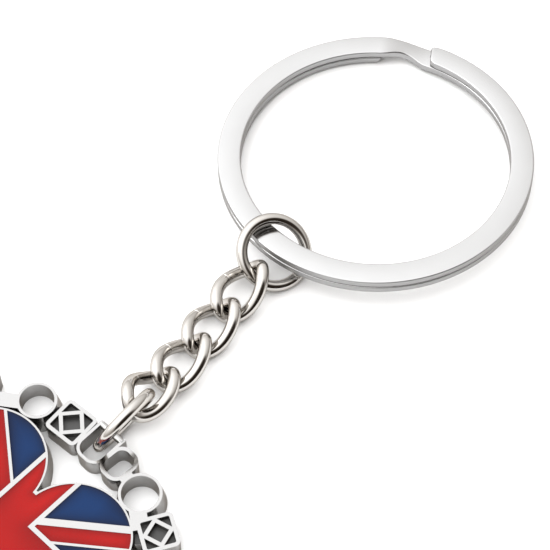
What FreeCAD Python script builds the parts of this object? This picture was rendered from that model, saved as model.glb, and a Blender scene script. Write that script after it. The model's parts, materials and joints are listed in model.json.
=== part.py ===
import FreeCAD, Part
import Sketcher
import math
import os

# Keychain: a cast heart pendant with enamel cells hangs from a jump ring, four twisted curb
# links and a second jump ring on a flat split ring.
# Frame: origin at the middle of the enamel cross on the pendant's back plane, +Y from the
# heart's point towards the chain, +Z out of the enamel face. The chain lies on the plane Z = 0.

DIMENSIONS = {
    # split ring: a flat band coiled twice
    "ring_outer_radius": 16.0,
    "band_width": 2.35,
    "band_thickness": 0.80,
    "layer_gap": 0.06,
    # jump rings and curb links: round wire
    "jump_ring_radius": 3.33,
    "jump_wire_radius": 0.57,
    "link_half_length": 3.12,
    "link_half_width": 1.89,
    "link_wire_radius": 0.625,
    "link_twist": 49.7,
    # heart outline at the face of the casting
    "casting_height": 2.20,
    "lobe_centre_x": 5.65,
    "lobe_centre_y": 3.80,
    "lobe_radius": 5.68,
    "shoulder_radius": 4.20,
    "shoulder_start_y": 7.82,
    "side_radius": 60.0,
    "tip_y": -10.5,
    "notch_y": 4.97,
    "base_notch_y": 5.90,
    "cell_notch_y": 4.62,
    "draft": 0.30,
    "rim": 0.18,
    "tip_spread": 1.43,
    # enamel cells
    "cell_floor": 1.45,
    "enamel_depth": 0.68,
    "cross_half_width": 1.97,
    "cross_border": 0.45,
    # openwork arch over the heart
    "loop_radius": 2.06,
    "loop_stroke": 0.28,
    "loop_draft": 0.35,
    "hole_draft": 0.05,
    "frame_stroke": 0.38,
    "pocket_floor": 1.50,
    "web_height": 1.35,
    # eye that carries the lower jump ring
    "eye_half_width": 1.30,
    "eye_wall": 0.30,
    "eye_centre_x": 0.55,
    "eye_low_y": 10.45,
    "eye_high_y": 14.2,
    "eye_corner": 1.00,
    "eye_bar_radius": 0.35,
    "eye_bar_y": 13.92,
    "eye_bar_z": 1.90,
}

# Angles about the split ring's axis, in degrees: the band steps down between them.
STEP_HIGH = 40.0
STEP_LOW = 19.5
TOP_END = 18.5
BOTTOM_END = 41.0
STEP_SECTIONS = 9
STEP_BEVEL = 0.65

LINK_POINTS = 36
LINK_ROUNDNESS = 2.29
SEAM_ANGLE = 0.7

# Slope of the enamel diagonals, and where the edges of their bands cross the Y axis.
DIAGONAL_SLOPE = 0.77
RIGHT_BANDS = {"upper": (1.72, 20.0), "red": (-1.07, 0.82), "lower": (-20.0, -1.38)}
LEFT_BANDS = {"upper": (2.37, 20.0), "red": (0.12, 2.01), "lower": (-20.0, -0.83)}
REACH = 25.0

# Motifs of the arch, by label. Loops: centre x, y and share of the full radius.
LOOPS = {"loop_left": (-6.97, 11.35, 0.94), "loop_right": (6.97, 11.35, 1.0)}
# Lattices: centre x, y, turn in degrees and side.
LATTICES = {
    "lattice_outer_left": (-12.20, 8.80, 32, 3.4),
    "lattice_inner_left": (-2.90, 12.00, 4, 3.7),
    "lattice_outer_right": (10.95, 9.75, -30, 3.5),
}
# Plain frame: centre x, y, turn, length and width.
FRAME = (3.40, 12.10, -4, 2.9, 3.5)
SHARP_CORNER = 0.55
SOFT_CORNER = 1.20
# Webs between motifs: centre x, y, length, width, turn and the dimension their height follows.
WEBS = {
    "web_inner_left": (-5.1, 11.5, 1.6, 2.2, 10, "web_height"),
    "web_inner_right": (4.95, 11.6, 1.0, 1.3, -10, "casting_height"),
    "web_outer_left": (-9.1, 9.4, 2.6, 1.5, 35, "casting_height"),
    "web_low_left": (-10.4, 8.2, 2.4, 1.6, 45, "web_height"),
    "web_outer_right": (8.7, 9.5, 2.2, 1.6, -35, "casting_height"),
    "web_low_right": (9.4, 8.4, 1.8, 1.6, -45, "web_height"),
}

# Chain as it lies. Jump rings: centre, normal and turn of the seam in degrees.
JUMP_RINGS = {
    "jump_ring_lower": ((1.160, 15.057, 3.784), (-0.9464, -0.0554, 0.3182), 90),
    "jump_ring_upper": ((-2.151, 38.609, 2.344), (0.5234, -0.0974, 0.8465), 0),
}
# Curb links: centre, heading, rise of the far end and roll, in degrees.
CURB_LINKS = {
    "curb_link_4": ((0.049, 19.302, 2.423), 100.32, -19.24, 4.40),
    "curb_link_3": ((-0.404, 24.007, 1.670), 95.90, -3.54, -3.61),
    "curb_link_2": ((-1.090, 28.738, 1.470), 97.43, -0.11, -0.19),
    "curb_link_1": ((-1.794, 33.507, 1.735), 97.03, 7.85, -2.04),
}
# Split ring: centre, direction angles are counted from, and normal.
RING_CENTRE = (-2.632, 53.953, 1.995)
RING_FORWARD = (0, 1, 0)
RING_NORMAL = (-0.0602, 0.0389, 0.9974)

SMALL = 1e-6

ORIGIN = FreeCAD.Vector(0, 0, 0)
X_AXIS = FreeCAD.Vector(1, 0, 0)
Y_AXIS = FreeCAD.Vector(0, 1, 0)
Z_AXIS = FreeCAD.Vector(0, 0, 1)

doc = FreeCAD.newDocument("keychain")
sheet = doc.addObject("Spreadsheet::Sheet", "Dims")
for row, (alias, value) in enumerate(DIMENSIONS.items(), start=1):
    sheet.set("A%d" % row, alias)
    sheet.set("B%d" % row, str(value))
    sheet.setAlias("B%d" % row, alias)
doc.recompute()

exports = []


def dim(alias):
    """Value of a driving dimension."""
    return DIMENSIONS[alias]


def bind(item, **expressions):
    """Bind properties of an object to the dimension sheet."""
    for name, text in expressions.items():
        item.setExpression(name.replace("__", "."), text)


def export_as(item, label):
    """Mark an object as a finished piece."""
    item.Label = label
    exports.append(item)


def placed(x, y, z, axis=Z_AXIS, angle=0.0):
    """Placement at a point, turned about an axis by an angle in degrees."""
    return FreeCAD.Placement(FreeCAD.Vector(x, y, z), FreeCAD.Rotation(axis, angle))


def cut(name, base, tool):
    """Part boolean: base minus tool."""
    result = doc.addObject("Part::Cut", name)
    result.Base = base
    result.Tool = tool
    return result


def common(name, base, tool):
    """Part boolean: the volume two shapes share."""
    result = doc.addObject("Part::Common", name)
    result.Base = base
    result.Tool = tool
    return result


def fuse(name, shapes):
    """Part boolean: the union of several shapes."""
    result = doc.addObject("Part::MultiFuse", name)
    result.Shapes = shapes
    result.Refine = True
    return result


def box(name, length, width, height, placement, **expressions):
    """Box with given sides, some of them bound to the sheet."""
    item = doc.addObject("Part::Box", name)
    item.Length = length
    item.Width = width
    item.Height = height
    item.Placement = placement
    bind(item, **expressions)
    return item


# ---------------------------------------------------------------- split ring

def band_layer(name, start, end, low_z, low_expression):
    """One turn of the flat band, from a start to an end angle, anticlockwise."""
    walls = []
    for side, radius in (("outer", "Dims.ring_outer_radius"),
                         ("inner", "Dims.ring_outer_radius - Dims.band_width")):
        wall = doc.addObject("Part::Cylinder", name + "_" + side)
        wall.Angle = end - start
        wall.Placement = placed(0, 0, low_z, Z_AXIS, start)
        bind(wall, Radius=radius, Height="Dims.band_thickness", Placement__Base__z=low_expression)
        walls.append(wall)
    walls[1].Angle = 360
    return cut(name, walls[0], walls[1])


def step_section(name, angle, middle_z, bevel):
    """Section of the band across the step, its inner top edge bevelled outwards."""
    outer = dim("ring_outer_radius")
    inner = outer - dim("band_width")
    half = dim("band_thickness") / 2
    profile = [(inner, middle_z - half), (outer, middle_z - half),
               (outer, middle_z + half), (inner + bevel, middle_z + half)]
    turn = math.radians(angle)
    points = [FreeCAD.Vector(radius * math.cos(turn), radius * math.sin(turn), z)
              for radius, z in profile]
    wire = doc.addObject("Part::Feature", name)
    wire.Shape = Part.makePolygon(points + points[:1])
    return wire


def split_ring(placement):
    """Band coiled twice: top turn, step down, bottom turn."""
    gap = dim("layer_gap")
    thickness = dim("band_thickness")
    top = band_layer("top_turn", STEP_HIGH, 360 + TOP_END, gap / 2, "Dims.layer_gap / 2")
    bottom = band_layer("bottom_turn", BOTTOM_END, 360 + STEP_LOW, -gap / 2 - thickness,
                        "-Dims.layer_gap / 2 - Dims.band_thickness")
    level = (gap + thickness) / 2
    sections = []
    for index in range(STEP_SECTIONS):
        share = index / (STEP_SECTIONS - 1)
        angle = STEP_HIGH + (STEP_LOW - STEP_HIGH) * share
        middle_z = level * math.cos(math.pi * share)
        bevel = STEP_BEVEL * math.sin(math.pi * share) ** 2
        sections.append(step_section("step_section_%d" % index, angle, middle_z, bevel))
    step = doc.addObject("Part::Loft", "step")
    step.Sections = sections
    step.Solid = True
    ring = fuse("split_ring", [top, step, bottom])
    ring.Refine = False
    ring.Placement = placement
    export_as(ring, "split_ring")


# ---------------------------------------------------------------- round wire pieces

def jump_ring(label, centre, normal, seam_turn):
    """Ring of round wire closed to a fine seam."""
    ring = doc.addObject("Part::Torus", label)
    ring.Angle3 = 360 - SEAM_ANGLE
    bind(ring, Radius1="Dims.jump_ring_radius", Radius2="Dims.jump_wire_radius")
    upright = FreeCAD.Rotation(Z_AXIS, FreeCAD.Vector(*normal))
    ring.Placement = FreeCAD.Placement(FreeCAD.Vector(*centre),
                                       upright * FreeCAD.Rotation(Z_AXIS, seam_turn))
    export_as(ring, label)


def link_point(turn):
    """Point of a curb link's centre line: a rounded oval twisted about its long axis."""
    length = dim("link_half_length")
    width = dim("link_half_width")
    reach = (abs(math.cos(turn) / length) ** LINK_ROUNDNESS
             + abs(math.sin(turn) / width) ** LINK_ROUNDNESS) ** (-1 / LINK_ROUNDNESS)
    along = reach * math.cos(turn)
    across = reach * math.sin(turn)
    twist = -math.radians(dim("link_twist")) * along / length
    return FreeCAD.Vector(along, across * math.cos(twist), across * math.sin(twist))


def curb_link(label, centre, yaw, pitch, roll):
    """Wire swept along the twisted oval, its seam on one long side."""
    seam = math.radians(SEAM_ANGLE)
    start = math.pi / 2
    points = []
    for index in range(LINK_POINTS + 1):
        points.append(link_point(start + seam / 2 + (2 * math.pi - seam) * index / LINK_POINTS))
    curve = Part.BSplineCurve()
    curve.interpolate(points)
    spine = doc.addObject("Part::Feature", label + "_spine")
    spine.Shape = curve.toShape()
    profile = doc.addObject("Part::Circle", label + "_profile")
    bind(profile, Radius="Dims.link_wire_radius")
    heading = curve.tangent(curve.FirstParameter)[0]
    profile.Placement = FreeCAD.Placement(points[0], FreeCAD.Rotation(Z_AXIS, heading))
    sweep = doc.addObject("Part::Sweep", label)
    sweep.Sections = [profile]
    sweep.Spine = (spine, ["Edge1"])
    sweep.Solid = True
    turned = (FreeCAD.Rotation(Z_AXIS, yaw) * FreeCAD.Rotation(Y_AXIS, -pitch)
              * FreeCAD.Rotation(X_AXIS, roll))
    sweep.Placement = FreeCAD.Placement(FreeCAD.Vector(*centre), turned)
    export_as(sweep, label)


# ---------------------------------------------------------------- heart

def arc(centre, radius, start, end):
    """Arc from a start to an end angle in degrees, anticlockwise."""
    circle = Part.Circle(FreeCAD.Vector(centre[0], centre[1], 0), Z_AXIS, radius)
    return Part.ArcOfCircle(circle, math.radians(start), math.radians(end))


def far_centre(first, first_reach, second, second_reach):
    """Point at given distances from two points, on the upper left side of them."""
    across = (second[0] - first[0], second[1] - first[1])
    apart = math.hypot(*across)
    along = (apart ** 2 + first_reach ** 2 - second_reach ** 2) / (2 * apart)
    off = math.sqrt(first_reach ** 2 - along ** 2)
    ahead = (across[0] / apart, across[1] / apart)
    return (first[0] + along * ahead[0] + off * ahead[1],
            first[1] + along * ahead[1] - off * ahead[0])


def inset_distance(inset):
    """Distance in from the face outline that an expression ending stands for."""
    return {"": 0.0, " - Dims.rim": dim("rim"), " + Dims.draft": -dim("draft")}[inset]


def heart_outline(sketch, inset, notch):
    """Right half of the heart: notch line, lobe, shoulder, side and the line up the middle."""
    offset = inset_distance(inset)
    lobe = (dim("lobe_centre_x"), dim("lobe_centre_y"))
    lobe_radius = dim("lobe_radius") - offset
    junction_y = lobe[1] + (dim("shoulder_start_y") - lobe[1]) * lobe_radius / dim("lobe_radius")
    junction = math.degrees(math.asin((junction_y - lobe[1]) / lobe_radius))
    notch_value = dim(notch)
    notch_turn = 180 - math.degrees(math.asin((notch_value - lobe[1]) / lobe_radius))
    shoulder_radius = dim("shoulder_radius") - offset
    back = lobe_radius - shoulder_radius
    shoulder = (lobe[0] + back * math.cos(math.radians(junction)),
                lobe[1] + back * math.sin(math.radians(junction)))
    side_radius = dim("side_radius") - offset
    tip = dim("tip_y") + offset * dim("tip_spread")
    side = far_centre(shoulder, side_radius - shoulder_radius, (0, tip), side_radius)
    side_turn = math.degrees(math.atan2(shoulder[1] - side[1], shoulder[0] - side[0]))
    tip_turn = math.degrees(math.atan2(tip - side[1], -side[0]))
    notch_x = lobe[0] + lobe_radius * math.cos(math.radians(notch_turn))
    line = Part.LineSegment
    point = FreeCAD.Vector
    sketch.addGeometry(line(point(0, notch_value, 0), point(notch_x, notch_value, 0)), False)
    sketch.addGeometry(arc(lobe, lobe_radius, junction, notch_turn), False)
    sketch.addGeometry(arc(shoulder, shoulder_radius, side_turn, junction), False)
    sketch.addGeometry(arc(side, side_radius, tip_turn, side_turn), False)
    sketch.addGeometry(line(point(0, tip, 0), point(0, notch_value, 0)), False)
    add_heart_constraints(sketch, inset, notch, junction_y, tip)


def add_heart_constraints(sketch, inset, notch, junction_y, tip):
    """Tie the half heart together and bind its sizes to the sheet."""
    rule = Sketcher.Constraint
    start, end, centre = 1, 2, 3
    notch_line, lobe, shoulder, side, middle = range(5)
    sketch.addConstraint([
        rule("Coincident", notch_line, end, lobe, end),
        rule("Tangent", lobe, start, shoulder, end),
        rule("Tangent", shoulder, start, side, end),
        rule("Coincident", side, start, middle, start),
        rule("Coincident", middle, end, notch_line, start),
        rule("Horizontal", notch_line),
        rule("PointOnObject", middle, end, -2),
        rule("PointOnObject", middle, start, -2),
    ])
    offset = inset_distance(inset)
    scale = "(Dims.lobe_radius%s) / Dims.lobe_radius" % inset
    tip_text = {"": "", " - Dims.rim": " + Dims.rim * Dims.tip_spread",
                " + Dims.draft": " - Dims.draft * Dims.tip_spread"}[inset]
    sizes = [
        ("Radius", (lobe,), dim("lobe_radius") - offset, "Dims.lobe_radius" + inset),
        ("Radius", (shoulder,), dim("shoulder_radius") - offset, "Dims.shoulder_radius" + inset),
        ("Radius", (side,), dim("side_radius") - offset, "Dims.side_radius" + inset),
        ("DistanceX", (lobe, centre), dim("lobe_centre_x"), "Dims.lobe_centre_x"),
        ("DistanceY", (lobe, centre), dim("lobe_centre_y"), "Dims.lobe_centre_y"),
        ("DistanceY", (shoulder, end), junction_y, "Dims.lobe_centre_y + "
         "(Dims.shoulder_start_y - Dims.lobe_centre_y) * " + scale),
        ("DistanceY", (middle, end), dim(notch), "Dims." + notch),
        ("DistanceY", (middle, start), tip, "Dims.tip_y" + tip_text),
    ]
    for kind, where, value, text in sizes:
        if kind == "Radius":
            number = sketch.addConstraint(rule(kind, *where, value))
        else:
            number = sketch.addConstraint(rule(kind, -1, 1, *where, value))
        sketch.setExpression("Constraints[%d]" % number, text)


def heart_body():
    """Solid heart with drafted walls: a loft of half outlines, mirrored."""
    body = doc.addObject("PartDesign::Body", "heart")
    plane = [item for item in body.Origin.OriginFeatures if item.Role == "XY_Plane"][0]
    mirror_plane = [item for item in body.Origin.OriginFeatures if item.Role == "YZ_Plane"][0]
    outlines = []
    for name, inset, notch, height in (("base_outline", " + Dims.draft", "base_notch_y", None),
                                       ("face_outline", "", "notch_y", "Dims.casting_height")):
        sketch = body.newObject("Sketcher::SketchObject", name)
        sketch.AttachmentSupport = [(plane, "")]
        sketch.MapMode = "FlatFace"
        if height:
            bind(sketch, AttachmentOffset__Base__z=height)
        heart_outline(sketch, inset, notch)
        outlines.append(sketch)
    doc.recompute()
    loft = body.newObject("PartDesign::AdditiveLoft", "heart_half")
    loft.Profile = outlines[0]
    loft.Sections = [outlines[1]]
    loft.Ruled = True
    doc.recompute()
    mirror = body.newObject("PartDesign::Mirrored", "heart_whole")
    mirror.Originals = [loft]
    mirror.MirrorPlane = (mirror_plane, [""])
    body.Tip = mirror
    doc.recompute()
    return body


def cavity():
    """Everything inside the rim, from the cell floor up past the face."""
    sketch = doc.addObject("Sketcher::SketchObject", "cavity_outline")
    sketch.Placement = placed(0, 0, dim("cell_floor"))
    bind(sketch, Placement__Base__z="Dims.cell_floor")
    heart_outline(sketch, " - Dims.rim", "cell_notch_y")
    doc.recompute()
    half = doc.addObject("Part::Extrusion", "cavity_half")
    half.Base = sketch
    half.DirMode = "Normal"
    half.Solid = True
    bind(half, LengthFwd="2 * (Dims.casting_height - Dims.cell_floor)")
    other = doc.addObject("Part::Mirroring", "cavity_other_half")
    other.Source = half
    other.Normal = X_AXIS
    return fuse("cavity", [half, other])


# ---------------------------------------------------------------- enamel

def cell_height():
    """Height of a cell region, past both ends of the cavity."""
    return 2 * dim("casting_height")


def cross_region():
    """Upright cross in the middle of the heart."""
    arms = []
    half = dim("cross_half_width")
    for name, length, width in (("cross_arm_across", REACH, half), ("cross_arm_upright", half, REACH)):
        arms.append(box(name, 2 * length, 2 * width, cell_height(), placed(-length, -width, 0)))
    bind(arms[0], Width="2 * Dims.cross_half_width", Placement__Base__y="-Dims.cross_half_width")
    bind(arms[1], Length="2 * Dims.cross_half_width", Placement__Base__x="-Dims.cross_half_width")
    return fuse("cross_region", arms)


def diagonal_region(name, side, turn, low, high):
    """Part of one quarter between two sloping lines that cross the Y axis at low and high.

    side is 1 for a right-hand quarter and -1 for a left-hand one. turn is 0, or 180 for the
    quarter diagonally opposite.
    """
    border = dim("cross_half_width") + dim("cross_border")
    corner_x = border if side > 0 else -border - REACH
    around = FreeCAD.Placement(ORIGIN, FreeCAD.Rotation(Z_AXIS, turn))
    quarter = box(name + "_quarter", REACH, REACH, cell_height(),
                  around * placed(corner_x, border, 0))
    slope = math.degrees(math.atan(DIAGONAL_SLOPE))
    width = (high - low) * math.cos(math.radians(slope))
    heading = slope if side > 0 else 180 - slope
    anchor = low if side > 0 else high
    back = placed(0, anchor, 0, Z_AXIS, heading) * placed(-REACH, 0, 0)
    strip = box(name + "_strip", 3 * REACH, width, cell_height(), around * back)
    return common(name + "_region", quarter, strip)


def enamel_regions():
    """Plan regions of the enamel, by label."""
    regions = {"enamel_cross": cross_region()}
    number = 0
    for turn in (0, 180):
        for side, bands in ((1, RIGHT_BANDS), (-1, LEFT_BANDS)):
            number += 1
            for band, (low, high) in bands.items():
                stem = "diagonal" if band == "red" else "field_" + band
                label = "enamel_%s_%d" % (stem, number)
                regions[label] = diagonal_region(label, side, turn, low, high)
    return regions


# ---------------------------------------------------------------- openwork arch

def loop(name, x, y, share):
    """Round open motif, drafted inside and out. share scales its radius."""
    walls = []
    radius = "Dims.loop_radius * %g" % share
    for side, face_radius, draft in (("outer", radius, "+ Dims.loop_draft"),
                                     ("inner", radius + " - Dims.loop_stroke", "- Dims.hole_draft")):
        wall = doc.addObject("Part::Cone", "%s_%s" % (name, side))
        wall.Placement = placed(x, y, 0)
        bind(wall, Radius1="%s %s" % (face_radius, draft), Radius2=face_radius,
             Height="Dims.casting_height")
        walls.append(wall)
    return walls


def upright_edges(solid, height, limit_y):
    """Numbers of a box's edges that run its full height, below a limit along Y."""
    numbers = []
    for number, edge in enumerate(solid.Shape.Edges, start=1):
        ends = [vertex.Point for vertex in edge.Vertexes]
        if abs(abs(ends[0].z - ends[1].z) - height) < SMALL and ends[0].y < limit_y:
            numbers.append(number)
    return numbers


def rounded_box(name, length, width, height, placement, radius, limit_y=REACH, **expressions):
    """Box whose upright edges below a limit along Y are rounded."""
    square = box(name + "_square", length, width, height, placement, **expressions)
    doc.recompute()
    item = doc.addObject("Part::Fillet", name)
    item.Base = square
    item.Edges = [(number, radius, radius) for number in upright_edges(square, height, limit_y)]
    return item


def frame(name, x, y, turn, length, width, corner):
    """Open four-sided motif with rounded corners."""
    walls = []
    height = dim("casting_height")
    for side, inset, low, tall in (("outer", 0.0, 0.0, height),
                                   ("inner", dim("frame_stroke"), -height / 2, 2 * height)):
        across = length - 2 * inset
        along = width - 2 * inset
        middle = placed(x, y, low, Z_AXIS, turn) * placed(-across / 2, -along / 2, 0)
        walls.append(rounded_box("%s_%s" % (name, side), across, along, tall, middle,
                                 corner - inset))
    return walls


def lattice(name, x, y, turn, size):
    """Square frame with a diamond inside it, closed below by a floor."""
    stroke = dim("frame_stroke")
    outer, window = frame(name, x, y, turn, size, size, SHARP_CORNER)
    side = (size - stroke) / math.sqrt(2)
    diamonds = []
    for part, inset in (("diamond", 0.0), ("diamond_hole", stroke)):
        across = side - 2 * inset
        middle = placed(x, y, 0, Z_AXIS, turn + 45) * placed(-across / 2, -across / 2, 0)
        diamonds.append(box("%s_%s" % (name, part), across, across, REACH, middle))
    band = cut(name + "_band", diamonds[0], diamonds[1])
    openings = cut(name + "_openings", window, band)
    above = box(name + "_above", 2 * size, 2 * size, REACH,
                placed(x - size, y - size, dim("pocket_floor")),
                Placement__Base__z="Dims.pocket_floor")
    return outer, common(name + "_pockets", openings, above)


def web(name, x, y, length, width, turn, top):
    """Block that ties motifs together. top is the sheet name of its height."""
    middle = placed(x, y, 0, Z_AXIS, turn) * placed(-length / 2, -width / 2, 0)
    return box(name, length, width, dim(top), middle, Height="Dims." + top)


def eye():
    """Walls of the eye, the slot through it and the round bar across its far end."""
    half = dim("eye_half_width")
    wall = dim("eye_wall")
    low = dim("eye_low_y")
    high = dim("eye_high_y")
    x = dim("eye_centre_x")
    height = dim("casting_height")
    corner = dim("eye_corner")
    middle_y = (low + high) / 2
    block = rounded_box("eye_block", 2 * (half + wall), high - low + wall, height,
                        placed(x - half - wall, low - wall, 0), corner + wall, middle_y,
                        Length="2 * (Dims.eye_half_width + Dims.eye_wall)",
                        Width="Dims.eye_high_y - Dims.eye_low_y + Dims.eye_wall",
                        Height="Dims.casting_height")
    slot = rounded_box("eye_slot", 2 * half, 2 * (high - low), 2 * height,
                       placed(x - half, low, -height / 2), corner, middle_y,
                       Length="2 * Dims.eye_half_width",
                       Width="2 * (Dims.eye_high_y - Dims.eye_low_y)",
                       Height="2 * Dims.casting_height")
    bar = doc.addObject("Part::Cylinder", "eye_bar")
    bar.Height = 2 * half + wall
    bar.Placement = placed(x - half - wall / 2, dim("eye_bar_y"), dim("eye_bar_z"), Y_AXIS, 90)
    bind(bar, Radius="Dims.eye_bar_radius", Height="2 * Dims.eye_half_width + Dims.eye_wall",
         Placement__Base__y="Dims.eye_bar_y", Placement__Base__z="Dims.eye_bar_z")
    return block, slot, bar


def pendant():
    """Casting with its cells and eye, then the enamel that fills the cells."""
    block, slot, bar = eye()
    motifs = [loop(name, *values) for name, values in LOOPS.items()]
    motifs += [lattice(name, *values) for name, values in LATTICES.items()]
    motifs.append(frame("frame_right", *FRAME, SOFT_CORNER))
    webs = [web(name, *values) for name, values in WEBS.items()]
    outers = [heart_body(), block] + webs + [walls[0] for walls in motifs]
    solid = fuse("casting_solid", outers)
    holes = fuse("arch_holes", [slot] + [walls[1] for walls in motifs])
    open_arch = cut("casting_open", solid, holes)
    barred = fuse("casting_barred", [open_arch, bar])

    inside = cavity()
    slab = box("enamel_slab", 3 * REACH, 3 * REACH, 1,
               placed(-1.5 * REACH, -1.5 * REACH, dim("cell_floor")),
               Height="Dims.enamel_depth", Placement__Base__z="Dims.cell_floor")
    cells = []
    for label, region in enamel_regions().items():
        cell = common(label + "_cell", inside, region)
        cells.append(cell)
        export_as(common(label, cell, slab), label)
    all_cells = fuse("all_cells", cells)
    all_cells.Refine = False
    export_as(cut("pendant_casting", barred, all_cells), "pendant_casting")


def ring_placement(centre, forward, normal):
    """Placement whose X axis is forward, as nearly as the normal lets it, and Z is the normal."""
    up = FreeCAD.Vector(*normal).normalize()
    ahead = FreeCAD.Vector(*forward)
    ahead = (ahead - up * ahead.dot(up)).normalize()
    turned = FreeCAD.Rotation(ahead, up.cross(ahead), up, "ZXY")
    return FreeCAD.Placement(FreeCAD.Vector(*centre), turned)


pendant()
for label, values in JUMP_RINGS.items():
    jump_ring(label, *values)
for label, values in CURB_LINKS.items():
    curb_link(label, *values)
split_ring(ring_placement(RING_CENTRE, RING_FORWARD, RING_NORMAL))
doc.recompute()

for item in doc.Objects:
    if "Invalid" in item.State or "Error" in item.State:
        raise RuntimeError("%s did not compute: %s" % (item.Name, item.State))

os.makedirs("parts", exist_ok=True)
for item in exports:
    shape = item.Shape
    if shape.isNull() or not shape.isValid():
        raise RuntimeError("%s has no valid shape" % item.Label)
    print(item.Label, "solids", len(shape.Solids), "volume", round(shape.Volume, 3))
    shape.exportStep("parts/%s.step" % item.Label)
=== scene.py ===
import json
import math

import bmesh
import bpy
import numpy as np
from mathutils import Matrix, Vector
from mathutils.geometry import delaunay_2d_cdt


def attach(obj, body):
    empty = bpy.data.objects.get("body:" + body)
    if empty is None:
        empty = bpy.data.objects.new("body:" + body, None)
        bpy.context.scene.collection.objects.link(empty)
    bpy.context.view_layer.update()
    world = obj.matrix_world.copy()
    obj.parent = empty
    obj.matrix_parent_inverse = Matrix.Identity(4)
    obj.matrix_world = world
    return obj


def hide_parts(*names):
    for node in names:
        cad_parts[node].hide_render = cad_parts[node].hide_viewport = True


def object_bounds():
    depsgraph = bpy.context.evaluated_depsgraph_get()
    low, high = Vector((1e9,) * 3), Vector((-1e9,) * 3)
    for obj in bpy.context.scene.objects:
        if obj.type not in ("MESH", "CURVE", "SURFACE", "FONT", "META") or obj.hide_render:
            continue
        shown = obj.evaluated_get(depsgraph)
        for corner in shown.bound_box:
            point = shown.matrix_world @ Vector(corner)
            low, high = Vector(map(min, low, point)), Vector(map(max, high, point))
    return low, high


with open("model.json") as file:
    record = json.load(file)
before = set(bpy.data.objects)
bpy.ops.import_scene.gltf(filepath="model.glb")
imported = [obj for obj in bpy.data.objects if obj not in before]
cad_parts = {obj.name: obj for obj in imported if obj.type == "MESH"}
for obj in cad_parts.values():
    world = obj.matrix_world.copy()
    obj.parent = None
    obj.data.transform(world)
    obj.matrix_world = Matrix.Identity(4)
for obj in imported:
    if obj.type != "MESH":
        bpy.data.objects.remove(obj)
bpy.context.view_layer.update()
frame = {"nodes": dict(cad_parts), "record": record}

MM = 0.001
RECORD = frame["record"]


# ---------------------------------------------------------------- reading the frame

def node_mesh(node):
    """Vertices and triangles of a CAD node, as arrays in metres."""
    mesh = frame["nodes"][node].data
    mesh.calc_loop_triangles()
    points = np.array([vertex.co for vertex in mesh.vertices], float)
    triangles = np.array([triangle.vertices for triangle in mesh.loop_triangles], int)
    return points, triangles


def principal_frame(node):
    """Centre of a node's surface and its axes, longest spread first, right-handed."""
    points, triangles = node_mesh(node)
    corners = points[triangles]
    area = 0.5 * np.linalg.norm(np.cross(corners[:, 1] - corners[:, 0],
                                         corners[:, 2] - corners[:, 0]), axis=1)
    middle = corners.mean(axis=1)
    centre = (middle * area[:, None]).sum(0) / area.sum()
    # a triangle spreads as its three corners do once each and its middle nine times
    spread = np.zeros((3, 3))
    for part, weight in ((middle, 9), (corners[:, 0], 1), (corners[:, 1], 1), (corners[:, 2], 1)):
        offset = part - centre
        spread += (offset * (weight * area)[:, None]).T @ offset
    _, axes = np.linalg.eigh(spread)
    first, second = axes[:, 2], axes[:, 1]
    return centre, np.column_stack([first, second, np.cross(first, second)])


def mesh_object(name, points, faces, smooth=True):
    """New mesh object from points in metres and faces."""
    mesh = bpy.data.meshes.new(name)
    mesh.from_pydata([tuple(point) for point in points], [], [tuple(face) for face in faces])
    mesh.update()
    if smooth:
        mesh.shade_smooth()
    item = bpy.data.objects.new(name, mesh)
    bpy.context.scene.collection.objects.link(item)
    return item


def stand_for(item, node, body, slot, material):
    """Let a piece ride on a body, stand for a CAD node and take its finish."""
    item.data.materials.clear()
    item.data.materials.append(material)
    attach(item, body)
    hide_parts(node)


# ---------------------------------------------------------------- round wire

# depth of a seam's groove as a share of the wire's radius, and the sections beside it in its widths
SEAM_DEPTH = 0.10
SEAM_SECTIONS = (0, 0.5, 1.0, 1.6, 2.4, 3.6)
WIRE_SECTIONS = 220
WIRE_SIDES = 28

# Fitting a wire to its CAD surface uses every FIT_EVERY-th point. FIT_STEP is in millimetres or
# radians, and points over FIT_FARTHEST millimetres off, such as a seam's, are left out.
FIT_EVERY = 4
FIT_LINE_POINTS = 400
FIT_ROUNDS = 4
FIT_STEP = 1e-4
FIT_FARTHEST = 0.12


def seam_steps(seam_share):
    """Shares of a turn from 0 to 1, closer together by the seam at 0."""
    fine = seam_share * np.array(SEAM_SECTIONS)
    plain = np.linspace(fine[-1], 1 - fine[-1], WIRE_SECTIONS)[1:-1]
    return np.concatenate([fine, plain, 1 - fine[:0:-1]])


def tube(name, path, centre, radius, seam_share):
    """Closed round tube along path(share), with a fine groove where the wire ends meet."""
    shares = seam_steps(seam_share)
    points = np.array([path(share) for share in shares])
    ahead = np.roll(points, -1, 0) - np.roll(points, 1, 0)
    ahead /= np.linalg.norm(ahead, axis=1)[:, None]
    out = points - centre
    out -= (out * ahead).sum(1)[:, None] * ahead
    out /= np.linalg.norm(out, axis=1)[:, None]
    side = np.cross(ahead, out)
    away = np.minimum(shares, 1 - shares) / seam_share
    girth = radius * (1 - SEAM_DEPTH * np.exp(-away ** 2))
    turns = np.linspace(0, 2 * math.pi, WIRE_SIDES, endpoint=False)
    rings = (points[:, None, :]
             + girth[:, None, None] * (np.cos(turns)[None, :, None] * out[:, None, :]
                                       + np.sin(turns)[None, :, None] * side[:, None, :]))
    faces = []
    for i in range(len(shares)):
        here, following = i * WIRE_SIDES, (i + 1) % len(shares) * WIRE_SIDES
        for j in range(WIRE_SIDES):
            k = (j + 1) % WIRE_SIDES
            faces.append((here + j, following + j, following + k, here + k))
    return mesh_object(name, rings.reshape(-1, 3), faces)


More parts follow.
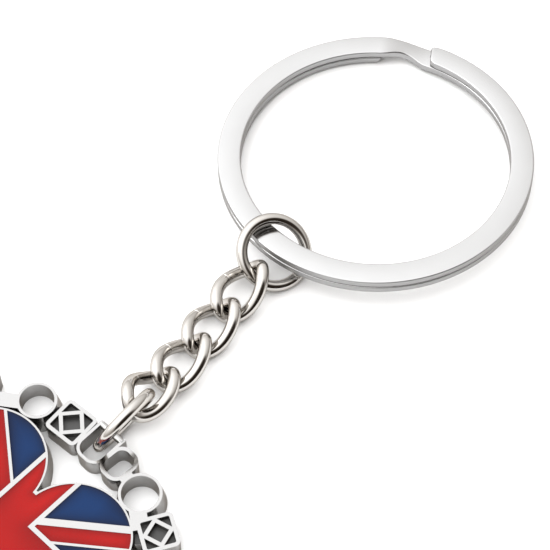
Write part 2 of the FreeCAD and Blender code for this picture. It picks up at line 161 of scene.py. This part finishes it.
def spin(turn):
    """Rotation matrix of a turn, given as its axis times its angle."""
    if not np.any(turn):
        return np.eye(3)
    return np.array(Matrix.Rotation(np.linalg.norm(turn), 3, Vector(turn)))


def settle(node, local_path, wire):
    """Centre and axes that lay a wire's centre line inside its CAD surface, by least squares."""
    points = node_mesh(node)[0][::FIT_EVERY]
    centre, axes = principal_frame(node)
    line = np.array([local_path(share)
                     for share in np.linspace(0, 1, FIT_LINE_POINTS, endpoint=False)])

    def misfit(move):
        """How far each point lies off the wire's surface after a small move, in millimetres."""
        local = (points - centre - move[:3] * MM) @ (axes @ spin(move[3:]))
        gap = local[:, None, :] - line[None]
        return (np.sqrt((gap ** 2).sum(2).min(1)) - wire) / MM

    for _ in range(FIT_ROUNDS):
        still = misfit(np.zeros(6))
        keep = np.abs(still) < FIT_FARTHEST
        slopes = np.column_stack([(misfit(FIT_STEP * unit) - still) / FIT_STEP
                                  for unit in np.eye(6)])
        move = np.linalg.lstsq(slopes[keep], -still[keep], rcond=1e-4)[0]
        axes = axes @ spin(move[3:])
        centre = centre + move[:3] * MM
    return centre, axes


def jump_ring(node):
    """Round wire ring over the CAD ring."""
    radius, wire, seam_share = 3.33 * MM, 0.57 * MM, 0.0016

    def local_path(share):
        turn = 2 * math.pi * share
        return np.array([radius * math.cos(turn), radius * math.sin(turn), 0])

    centre, axes = settle(node, local_path, wire)
    return tube(node + "_wire", lambda share: centre + axes @ local_path(share), centre,
                wire, seam_share)


def curb_link(node):
    """Twisted oval of round wire over the CAD link."""
    half_length, half_width, wire = 3.12 * MM, 1.89 * MM, 0.625 * MM
    # roundness is the power of the oval's outline: 2 is an ellipse, more is boxier
    twist, roundness, seam_share = math.radians(49.7), 2.29, 0.0022

    def local_path(share):
        turn = 2 * math.pi * share + math.pi / 2
        reach = (abs(math.cos(turn) / half_length) ** roundness
                 + abs(math.sin(turn) / half_width) ** roundness) ** (-1 / roundness)
        along, across = reach * math.cos(turn), reach * math.sin(turn)
        turned = -twist * along / half_length
        return np.array([along, across * math.cos(turned), across * math.sin(turned)])

    centre, axes = settle(node, local_path, wire)
    # the wire's ends meet on the long side that faces -X
    half_turn = 0.5 if (axes @ local_path(0))[0] > 0 else 0.0
    return tube(node + "_wire", lambda share: centre + axes @ local_path(share + half_turn), centre,
                wire, seam_share)


# ---------------------------------------------------------------- split ring

BAND_OUTER = 16.0 * MM
BAND_WIDTH = 2.35 * MM
BAND_THICKNESS = 0.80 * MM
BAND_GAP = 0.06 * MM
BAND_EDGE = 0.19 * MM
BAND_CROWN = 0.04 * MM
CORNER_STEPS = 6
CROWN_STEPS = 8
SHARP_FROM = math.radians(50)

# Angles about the ring's axis are in degrees. The band steps down from STEP_HIGH to STEP_LOW, where
# its inner wall stands back and its top edge is bevelled.
STEP_HIGH, STEP_LOW = 40.0, 19.5
STEP_RECESS, STEP_BEVEL = 0.50 * MM, 0.16 * MM

# It runs clockwise a little short of two turns, from the top turn's end to the bottom turn's end.
BAND_START, BAND_FINISH = 18.5, 41.0 - 720
# Both ends are eased over the angle that an edge's radius takes up.
EASE = math.degrees(BAND_EDGE / BAND_OUTER)
EASE_SHARES = np.array([0, 0.15, 0.4, 0.7, 1.0])
# The top turn's end is blunted over NOSE degrees. Within END_REACH of its end it is also cut askew,
# and the bottom turn slopes under.
NOSE, NOSE_INNER_CUT, NOSE_OUTER_CUT = 4.5, 0.75 * MM, 0.30 * MM
END_REACH, END_SKEW, END_SLOPE = 6, math.radians(1.6), math.radians(2.2)


def rounded(corners, radius):
    """Outline of a polygon with rounded corners."""
    outline = []
    for i, corner in enumerate(corners):
        here = np.array(corner)
        before = np.array(corners[i - 1]) - here
        after = np.array(corners[(i + 1) % len(corners)]) - here
        before /= np.linalg.norm(before)
        after /= np.linalg.norm(after)
        start, end = here + radius * before, here + radius * after
        for k in range(CORNER_STEPS + 1):
            t = k / CORNER_STEPS
            outline.append((1 - t) ** 2 * start + 2 * t * (1 - t) * here + t ** 2 * end)
    return outline


def crowned(outline):
    """Four-cornered outline with its top side, between the last two corners, bulging upwards."""
    cut = 3 * len(outline) // 4
    start, end = outline[cut - 1], outline[cut]
    bulge = []
    for k in range(1, CROWN_STEPS):
        rise = BAND_CROWN * (1 - (2 * k / CROWN_STEPS - 1) ** 2)
        bulge.append(start + (end - start) * k / CROWN_STEPS + np.array([0, rise]))
    return outline[:cut] + bulge + outline[cut:]


def band_turns():
    """Angles of the band's sections, closest at the ends and across the step."""
    step_high, step_low = STEP_HIGH - 360, STEP_LOW - 360
    return np.concatenate([
        BAND_START - EASE * EASE_SHARES,
        np.linspace(BAND_START - 1, BAND_START - NOSE, 8),
        np.linspace(BAND_START - NOSE - 1, step_high + 0.1, 250),
        np.linspace(step_high, step_low, 60),
        np.linspace(step_low - 0.4, BAND_FINISH + 1, 260),
        BAND_FINISH + EASE * EASE_SHARES[::-1],
    ])


def band_section(turn):
    """Radius, height and angle of each point round the band's outline at a turn."""
    share = min(max((STEP_HIGH - 360 - turn) / (STEP_HIGH - STEP_LOW), 0), 1)
    stepping = math.sin(math.pi * share) ** 2
    middle = (BAND_GAP + BAND_THICKNESS) / 2 * math.cos(math.pi * share)
    past_start, before_finish = BAND_START - turn, turn - BAND_FINISH
    easing = max(0, 1 - min(past_start, before_finish) / EASE)
    inset = BAND_EDGE * (1 - math.sqrt(max(0, 1 - easing ** 2)))
    blunt = 1 - math.sqrt(1 - max(0, 1 - past_start / NOSE) ** 2)
    half = BAND_THICKNESS / 2 - inset
    near = BAND_OUTER - BAND_WIDTH + inset + STEP_RECESS * stepping + NOSE_INNER_CUT * blunt
    far = BAND_OUTER - inset - NOSE_OUTER_CUT * blunt
    bottom, top = middle - half, middle + half - BAND_CROWN
    corners = [(near, bottom), (far, bottom), (far, top), (near + STEP_BEVEL * stepping, top)]
    skew = END_SKEW * max(0, 1 - past_start / END_REACH)
    under = END_SLOPE * max(0, 1 - before_finish / END_REACH)
    return [(radius, height, math.radians(turn) + skew * (radius - near) / (far - near)
             - under * (height - bottom) / (2 * half))
            for radius, height in crowned(rounded(corners, BAND_EDGE))]


def split_ring(node):
    """Flat band coiled twice, stepping from the top turn to the bottom one."""
    mount = next(item for item in RECORD["mounts"] if item["name"] == "key_loop")
    centre = np.array(mount["pos_m"])
    up = np.array(mount["axis"], float)
    up /= np.linalg.norm(up)
    ahead = np.array([0.0, 1.0, 0.0])
    ahead -= ahead @ up * up
    ahead /= np.linalg.norm(ahead)
    side = np.cross(up, ahead)
    sections = [band_section(turn) for turn in band_turns()]
    points = []
    for section in sections:
        for radius, height, angle in section:
            out = math.cos(angle) * ahead + math.sin(angle) * side
            points.append(centre + radius * out + height * up)
    around = len(sections[0])
    last = len(points) - around
    faces = []
    for here in range(0, last, around):
        following = here + around
        for j in range(around):
            k = (j + 1) % around
            faces.append((here + j, here + k, following + k, following + j))
    faces.append(tuple(range(around))[::-1])
    faces.append(tuple(range(last, last + around)))
    item = mesh_object(node + "_band", points, faces)
    item.data.set_sharp_from_angle(angle=SHARP_FROM)
    return item


# ---------------------------------------------------------------- casting

CAST_EDGE = 0.045 * MM
CAST_EDGE_SEGMENTS = 3
CAST_SOFTENED_FROM = math.radians(30)
CAST_FLAT_WITHIN = math.radians(0.8)
CAST_WELD = 1e-6


def casting(node):
    """Heart and arch casting with softly rounded edges."""
    work = bmesh.new()
    work.from_mesh(frame["nodes"][node].data)
    bmesh.ops.remove_doubles(work, verts=work.verts, dist=CAST_WELD)
    bmesh.ops.dissolve_limit(work, angle_limit=CAST_FLAT_WITHIN, verts=work.verts,
                             edges=work.edges)
    edges = [edge for edge in work.edges
             if len(edge.link_faces) == 2 and edge.calc_face_angle(0) > CAST_SOFTENED_FROM]
    bmesh.ops.bevel(work, geom=edges, offset=CAST_EDGE, segments=CAST_EDGE_SEGMENTS, profile=0.5,
                    affect="EDGES", clamp_overlap=True)
    mesh = bpy.data.meshes.new(node + "_casting")
    work.to_mesh(mesh)
    work.free()
    mesh.shade_smooth()
    item = bpy.data.objects.new(node + "_casting", mesh)
    bpy.context.scene.collection.objects.link(item)
    weigh = item.modifiers.new("even_shading", "WEIGHTED_NORMAL")
    weigh.keep_sharp = True
    return item


# ---------------------------------------------------------------- enamel

# spacing of the points along a pool's edge and of the grid inside, and the grid's distance from it
POOL_EDGE_STEP, POOL_PITCH, POOL_GRID_INSET = 0.16 * MM, 0.20 * MM, 0.30 * MM
# rows of points along the edge, in millimetres from it
POOL_ROWS = (0.035, 0.08, 0.14, 0.22)
# the surface lies a little low, creeps up the walls of its cell and is fuller in the middle
POOL_SINK = 0.012 * MM
CREEP, CREEP_REACH = 0.055 * MM, 0.10 * MM
FULLNESS, FULLNESS_REACH = 0.030 * MM, 0.9 * MM
# reach over which the painted shade by a cell's walls gives way to the painted highlight in its
# middle
SHADE_REACH = 0.55 * MM
# the walls of a pool end this far above its bottom
SKIRT_FOOT = 0.1 * MM
# the triangulation works in millimetres
PER_METRE = 1000
# points this near the top are on it, and points that round alike in plan are one
LEVEL_WITHIN = 1e-6
PLAN_KEYS_PER_METRE = 1e7


def top_face(node):
    """Plan outline of a node's top face, and the heights of its top and bottom."""
    points, triangles = node_mesh(node)
    top, bottom = points[:, 2].max(), points[:, 2].min()
    keys = {}
    index = [keys.setdefault(tuple(np.round(point[:2] * PLAN_KEYS_PER_METRE).astype(int)), number)
             for number, point in enumerate(points)]
    edges = {}
    for triangle in triangles:
        if (points[triangle][:, 2] > top - LEVEL_WITHIN).all():
            a, b, c = (index[corner] for corner in triangle)
            edges.update({(a, b): None, (b, c): None, (c, a): None})
    following = {a: b for a, b in edges if (b, a) not in edges}
    order = [next(iter(following))]
    while following[order[-1]] != order[0]:
        order.append(following[order[-1]])
    return points[order][:, :2], top, bottom


def inside(points, outline):
    """Which plan points lie inside a closed outline."""
    result = np.zeros(len(points), bool)
    for (x1, y1), (x2, y2) in zip(outline, np.roll(outline, -1, 0)):
        crosses = (y1 > points[:, 1]) != (y2 > points[:, 1])
        with np.errstate(divide="ignore", invalid="ignore"):
            where = (x2 - x1) * (points[:, 1] - y1) / (y2 - y1) + x1
        result ^= crosses & (points[:, 0] < where)
    return result


def edge_distance(points, outline):
    """Distance of plan points from the nearest edge of an outline."""
    along = np.roll(outline, -1, 0) - outline
    length = np.maximum((along ** 2).sum(1), 1e-18)
    offset = points[:, None, :] - outline[None]
    share = np.clip((offset * along[None]).sum(2) / length[None], 0, 1)
    gap = offset - share[:, :, None] * along[None]
    return np.sqrt((gap ** 2).sum(2)).min(1)


def pool_plan(outline):
    """Plan points of a pool: its outline first, then a grid inside and rows along its edge."""
    low, high = outline.min(0), outline.max(0)
    grid = np.array([(x, y) for x in np.arange(low[0], high[0], POOL_PITCH)
                     for y in np.arange(low[1], high[1], POOL_PITCH)])
    grid = grid[inside(grid, outline)]
    if len(grid):
        grid = grid[edge_distance(grid, outline) > POOL_GRID_INSET]
    tangent = np.roll(outline, -1, 0) - np.roll(outline, 1, 0)
    tangent /= np.linalg.norm(tangent, axis=1)[:, None]
    inward = np.column_stack([-tangent[:, 1], tangent[:, 0]])
    plan = [outline, grid.reshape(-1, 2)]
    for reach in POOL_ROWS:
        row = outline + inward * reach * MM
        # points that come too near another stretch of the edge are left out
        plan.append(row[inside(row, outline) & (edge_distance(row, outline) > 0.9 * reach * MM)])
    return np.concatenate(plan)


def enamel_pool(node):
    """Enamel fill whose surface creeps up the walls of its cell and is full in the middle."""
    corners, top, bottom = top_face(node)
    outline = []
    for start, end in zip(corners, np.roll(corners, -1, 0)):
        steps = max(1, int(np.linalg.norm(end - start) / POOL_EDGE_STEP))
        outline += [start + (end - start) * k / steps for k in range(steps)]
    outline = np.array(outline)
    count = len(outline)
    loop = [(i, (i + 1) % count) for i in range(count)]
    verts, _, faces, *_ = delaunay_2d_cdt([Vector(p) for p in pool_plan(outline) * PER_METRE], loop,
                                          [list(range(count))], 1, 1e-7)
    plan = np.array([tuple(v) for v in verts]) / PER_METRE
    reach = edge_distance(plan, outline)
    creep = CREEP * np.exp(-reach / CREEP_REACH)
    full = FULLNESS * (1 - np.exp(-reach / FULLNESS_REACH))
    surface = np.column_stack([plan, top - POOL_SINK + creep + full])
    skirt = np.column_stack([plan[:count], np.full(count, bottom + SKIRT_FOOT)])
    base = len(surface)
    walls = [(i, base + i, base + k, k) for i, k in loop]
    item = mesh_object(node + "_pool", np.concatenate([surface, skirt]), list(faces) + walls)
    # share from painted shade at the cell's walls to a painted highlight in the middle, for the
    # enamel's colour
    shade_share = item.data.attributes.new("shade_to_highlight", "FLOAT", "POINT")
    shade_share.data.foreach_set("value", np.concatenate([1 - np.exp(-reach / SHADE_REACH),
                                                    np.zeros(count)]))
    return item


# ---------------------------------------------------------------- materials

def new_material(name):
    """Material with only its shader and output, and the nodes, links and shader of its tree."""
    material = bpy.data.materials.new(name)
    material.use_nodes = True
    tree = material.node_tree
    return material, tree.nodes, tree.links, tree.nodes["Principled BSDF"]


def put(links, socket, value):
    """Give a socket a value, or link an output to it."""
    if isinstance(value, bpy.types.NodeSocket):
        links.new(value, socket)
    else:
        socket.default_value = value


def math_node(nodes, links, operation, *values):
    """Result of a math node on outputs or numbers."""
    node = nodes.new("ShaderNodeMath")
    node.operation = operation
    for socket, value in zip(node.inputs, values):
        put(links, socket, value)
    return node.outputs["Value"]


def mixed(nodes, links, first, second, share, blend_type="MIX"):
    """Colour between two colours, or another blend of them."""
    node = nodes.new("ShaderNodeMix")
    node.data_type = "RGBA"
    node.blend_type = blend_type
    put(links, node.inputs["A"], first)
    put(links, node.inputs["B"], second)
    put(links, node.inputs["Factor"], share)
    return node.outputs["Result"]


def ranged(nodes, links, source, low, high, start=0.0, end=1.0, interpolation="LINEAR"):
    """Map a value from start..end to low..high."""
    node = nodes.new("ShaderNodeMapRange")
    node.interpolation_type = interpolation
    node.inputs["From Min"].default_value = start
    node.inputs["From Max"].default_value = end
    node.inputs["To Min"].default_value = low
    node.inputs["To Max"].default_value = high
    links.new(source, node.inputs["Value"])
    return node.outputs["Result"]


def parts_of(nodes, links, vector):
    """Separate X, Y and Z outputs of a vector."""
    node = nodes.new("ShaderNodeSeparateXYZ")
    links.new(vector, node.inputs["Vector"])
    return node.outputs


def noise(nodes, links, place, scale, detail, stretch=None):
    """Noise on a position in metres, stretched if asked."""
    if stretch:
        mapping = nodes.new("ShaderNodeMapping")
        mapping.inputs["Scale"].default_value = stretch
        links.new(place, mapping.inputs["Vector"])
        place = mapping.outputs["Vector"]
    node = nodes.new("ShaderNodeTexNoise")
    node.inputs["Scale"].default_value = scale
    node.inputs["Detail"].default_value = detail
    links.new(place, node.inputs["Vector"])
    return node.outputs["Fac"]


def bumped(nodes, links, height, distance, strength, normal=None):
    """Bump from a height value, on top of another bump if given."""
    node = nodes.new("ShaderNodeBump")
    node.inputs["Distance"].default_value = distance
    node.inputs["Strength"].default_value = strength
    links.new(height, node.inputs["Height"])
    if normal is not None:
        links.new(normal, node.inputs["Normal"])
    return node.outputs["Normal"]


def opaque(colour, share=1):
    """A colour times a share, with full alpha."""
    return (*[channel * share for channel in colour], 1)


# colour of the metal's reflections at a grazing angle
EDGE_TINT = (0.42, 0.39, 0.36)
# share of the tint left in the clouds and, as painted shade, in the recesses, and the roughness
# that recesses and hairs add
CLOUD_TINT, RECESS_SHADE_TINT = 0.93, 0.18
RECESS_ROUGHNESS, HAIR_ROUGHNESS = 0.3, 0.05
RECESS_BLUR = 0.1 * MM
# noise scales per metre
METAL_CLOUDS, METAL_HAIRS, METAL_SPECKS, METAL_WAVES = 420.0, 900.0, 5200.0, 330.0
HAIR_STRETCH = (6.0, 0.6, 6.0)
ENAMEL_CLOUDS, ENAMEL_SPECKS, ENAMEL_WAVES, ENAMEL_DRIFT = 260.0, 6000.0, 240.0, 130.0
ENAMEL_CLOUDING = 0.15


def nickel(name, tint, polish, ripple, side=1.0, side_rough=0.0, level=0.8, recess_top=None):
    """Bright plated metal: faint cloudiness, fine scratches and a slight polishing ripple.

    polish is the lowest and highest roughness. side darkens the faces that aren't level with
    painted shade, and side_rough roughens them. A face is level if its normal's upright share is at
    least level. Upward faces below the given recess height are matt and darkened with painted
    shade.
    """
    material, nodes, links, shader = new_material(name)
    coordinates = nodes.new("ShaderNodeTexCoord").outputs
    place = coordinates["Object"]
    cloud = noise(nodes, links, place, METAL_CLOUDS, 4.0)
    hairs = noise(nodes, links, place, METAL_HAIRS, 2.0, HAIR_STRETCH)
    specks = noise(nodes, links, place, METAL_SPECKS, 2.0)
    wave = noise(nodes, links, place, METAL_WAVES, 1.0)
    upright = parts_of(nodes, links, coordinates["Normal"])["Z"]
    flatness = ranged(nodes, links, math_node(nodes, links, "ABSOLUTE", upright),
                      0.0, 1.0, level - 0.3, level)
    colour = mixed(nodes, links, opaque(tint, CLOUD_TINT), opaque(tint), cloud)
    # painted shade: faces that aren't level take a darker copy of the tint
    colour = mixed(nodes, links, opaque(tint, side), colour, flatness)
    rough = math_node(nodes, links, "ADD", ranged(nodes, links, cloud, *polish, 0.3, 0.7),
                      math_node(nodes, links, "MULTIPLY_ADD", flatness, -side_rough, side_rough))
    if recess_top is not None:
        # painted shade in the recesses: upward faces below the recess height turn dark, and also
        # matt
        height = parts_of(nodes, links, place)["Z"]
        shaded_recess = math_node(nodes, links, "MULTIPLY",
                           ranged(nodes, links, upright, 0.0, 1.0, 0.5, 0.7),
                           ranged(nodes, links, height, 1.0, 0.0, recess_top - RECESS_BLUR, recess_top + RECESS_BLUR))
        colour = mixed(nodes, links, colour, opaque(tint, RECESS_SHADE_TINT), shaded_recess)
        rough = math_node(nodes, links, "MULTIPLY_ADD", shaded_recess, RECESS_ROUGHNESS, rough)
    rough = math_node(nodes, links, "MULTIPLY_ADD", hairs, HAIR_ROUGHNESS, rough)
    normal = bumped(nodes, links, wave, 0.02 * MM, ripple)
    normal = bumped(nodes, links, hairs, 0.003 * MM, 0.25, normal)
    normal = bumped(nodes, links, specks, 0.0015 * MM, 0.25, normal)
    shader.inputs["Metallic"].default_value = 1.0
    shader.inputs["Specular Tint"].default_value = opaque(EDGE_TINT)
    links.new(colour, shader.inputs["Base Color"])
    links.new(rough, shader.inputs["Roughness"])
    links.new(normal, shader.inputs["Normal"])
    return material


def enamel(name, edge_shaded, bright):
    """Glossy enamel, with painted shade by the walls of its cell and a painted highlight in the
    middle, faintly cloudy.
    """
    material, nodes, links, shader = new_material(name)
    place = nodes.new("ShaderNodeTexCoord").outputs["Object"]
    cloud = noise(nodes, links, place, ENAMEL_CLOUDS, 4.0)
    specks = noise(nodes, links, place, ENAMEL_SPECKS, 2.0)
    wave = noise(nodes, links, place, ENAMEL_WAVES, 1.0)
    drift = noise(nodes, links, place, ENAMEL_DRIFT, 1.0)
    fill = nodes.new("ShaderNodeAttribute")
    fill.attribute_name = "shade_to_highlight"
    # painted shade by the walls of the cell, giving way to a painted highlight in the middle, made
    # patchy by drift and clouds
    share = math_node(nodes, links, "MULTIPLY", fill.outputs["Fac"],
                      ranged(nodes, links, drift, 0.35, 1.0, 0.35, 0.62))
    share = math_node(nodes, links, "MULTIPLY_ADD", cloud, ENAMEL_CLOUDING, share)
    rough = ranged(nodes, links, specks, 0.16, 0.26, 0.3, 0.7)
    normal = bumped(nodes, links, wave, 0.03 * MM, 0.35)
    normal = bumped(nodes, links, specks, 0.001 * MM, 0.2, normal)
    shader.inputs["Specular IOR Level"].default_value = 0.15
    links.new(mixed(nodes, links, opaque(edge_shaded), opaque(bright), share), shader.inputs["Base Color"])
    links.new(rough, shader.inputs["Roughness"])
    links.new(normal, shader.inputs["Normal"])
    return material


def matt(name, colour, roughness):
    """Plain matt stage surface."""
    material, _, _, shader = new_material(name)
    shader.inputs["Base Color"].default_value = opaque(colour)
    shader.inputs["Roughness"].default_value = roughness
    shader.inputs["Specular IOR Level"].default_value = 0.2
    return material


# ---------------------------------------------------------------- pieces

BODY_OF = {node: body for body, members in RECORD["behaviour"]["bodies"].items()
           for node in members}
SLOT_OF = {entry["node"]: entry["material_slot"] for entry in RECORD["subparts"]}

# The casting and the band carry painted shade on faces that aren't level, the casting also in its
# recesses; each enamel's first colour is painted shade by its cell's walls and its second a painted
# highlight.
MATERIALS = {
    "plated_casting": nickel("nickel_casting", (0.435, 0.432, 0.430), (0.09, 0.15), ripple=0.5,
                             side=0.86, side_rough=0.06, recess_top=2.0 * MM),
    "plated_wire": nickel("nickel_wire", (0.53, 0.51, 0.485), (0.05, 0.10), ripple=0.6),
    "plated_band": nickel("nickel_band", (0.505, 0.505, 0.507), (0.09, 0.15), ripple=0.35,
                          side=0.72, side_rough=0.24, level=0.96),
    "enamel_red": enamel("enamel_red", (0.17, 0.0013, 0.0013), (0.36, 0.004, 0.003)),
    "enamel_blue": enamel("enamel_blue", (0.0004, 0.003, 0.018), (0.001, 0.022, 0.092)),
}

for node in BODY_OF:
    if node.startswith("jump_ring"):
        piece = jump_ring(node)
    elif node.startswith("curb_link"):
        piece = curb_link(node)
    elif node.startswith("enamel"):
        piece = enamel_pool(node)
    elif node == "split_ring":
        piece = split_ring(node)
    else:
        piece = casting(node)
    stand_for(piece, node, BODY_OF[node], SLOT_OF[node], MATERIALS[SLOT_OF[node]])


# ---------------------------------------------------------------- stage, light and camera

# the camera looks along this heading, in plan, and this far down
LOOK_HEADING = math.radians(90 + 43.75)
LOOK_ELEVATION = math.radians(58.5)
# the point it looks at and its distance from there, in millimetres
AIM, CAMERA_DISTANCE = Vector((-1.26, 37.81, 0)), 198.08
SENSOR_WIDTH = 36.0
# focal length in widths of the sensor
LENS_RATIO = 40 / 11
FLOOR_REACH = 3
SKY_STRENGTH = 2.30
WHITE = (1.0, 1.0, 1.0)

low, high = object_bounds()
middle = (Vector(low) + Vector(high)) / 2
middle.z = 0


def around(distance, heading, elevation):
    """Point at a distance from the middle; heading 0 is the way the camera looks, + to its left."""
    turn = LOOK_HEADING + math.radians(heading)
    rise = math.radians(elevation)
    return middle + Vector((distance * math.cos(rise) * math.cos(turn),
                            distance * math.cos(rise) * math.sin(turn),
                            distance * math.sin(rise)))


def area_light(name, place, width, height, power):
    """Rectangular soft light at a point, facing the middle."""
    light = bpy.data.lights.new(name, "AREA")
    light.shape = "RECTANGLE"
    light.size, light.size_y = width, height
    light.energy = power
    item = bpy.data.objects.new(name, light)
    item.location = place
    item.rotation_euler = (place - middle).to_track_quat("Z", "Y").to_euler()
    bpy.context.scene.collection.objects.link(item)
    return item


def lobe(tree, heading, elevation, inner, outer, centre_colour, rim_colour):
    """Colour round a direction of the surroundings: full within inner degrees, faded by outer."""
    toward = tree.nodes.new("ShaderNodeVectorMath")
    toward.operation = "DOT_PRODUCT"
    toward.inputs[1].default_value = (around(1, heading, elevation) - middle).normalized()
    tree.links.new(tree.nodes.new("ShaderNodeTexCoord").outputs["Generated"], toward.inputs[0])
    fade = ranged(tree.nodes, tree.links, toward.outputs["Value"], 0.0, 1.0,
                  math.cos(math.radians(outer)), math.cos(math.radians(inner)), "SMOOTHSTEP")
    return mixed(tree.nodes, tree.links, opaque(rim_colour), opaque(centre_colour), fade)


floor = mesh_object("floor", [(-FLOOR_REACH, -FLOOR_REACH, 0), (FLOOR_REACH, -FLOOR_REACH, 0),
                              (FLOOR_REACH, FLOOR_REACH, 0), (-FLOOR_REACH, FLOOR_REACH, 0)],
                    [(0, 1, 2, 3)], smooth=False)
floor.data.materials.append(matt("floor_white", (0.92, 0.92, 0.92), 0.6))

world = bpy.data.worlds.new("studio")
bpy.context.scene.world = world
world.use_nodes = True
sky = world.node_tree
bright = lobe(sky, 25, 62, 35, 95, WHITE, (0.34, 0.32, 0.30))
shade = lobe(sky, 213, 31, 23, 44, (0.070, 0.056, 0.046), WHITE)
window = lobe(sky, 90, 45, 25, 85, WHITE, (0.56, 0.55, 0.54))
surroundings = mixed(sky.nodes, sky.links, bright, shade, 1.0, "MULTIPLY")
surroundings = mixed(sky.nodes, sky.links, surroundings, window, 1.0, "MULTIPLY")
sky.links.new(surroundings, sky.nodes["Background"].inputs["Color"])
sky.nodes["Background"].inputs["Strength"].default_value = SKY_STRENGTH

overhead = area_light("soft_overhead", around(1.0, 0, 80), 2.0, 2.0, 9.0)
overhead.visible_glossy = False
area_light("soft_left", around(0.9, 75, 42), 0.30, 0.30, 0.95)
glow = area_light("glow_left", around(0.9, 84, 40), 0.50, 0.60, 1.6)
glow.visible_diffuse = False

camera_data = bpy.data.cameras.new("camera")
camera_data.lens = SENSOR_WIDTH * LENS_RATIO
camera_data.sensor_width = SENSOR_WIDTH
camera_data.clip_start = 10 * MM
camera = bpy.data.objects.new("camera", camera_data)
bpy.context.scene.collection.objects.link(camera)
look = Vector((math.cos(LOOK_HEADING) * math.cos(LOOK_ELEVATION),
               math.sin(LOOK_HEADING) * math.cos(LOOK_ELEVATION),
               -math.sin(LOOK_ELEVATION)))
camera.location = AIM * MM - look * CAMERA_DISTANCE * MM
camera.rotation_euler = look.to_track_quat("-Z", "Y").to_euler()
bpy.context.scene.camera = camera

bpy.context.scene.view_settings.view_transform = "Standard"
bpy.context.scene.view_settings.exposure = 0.0
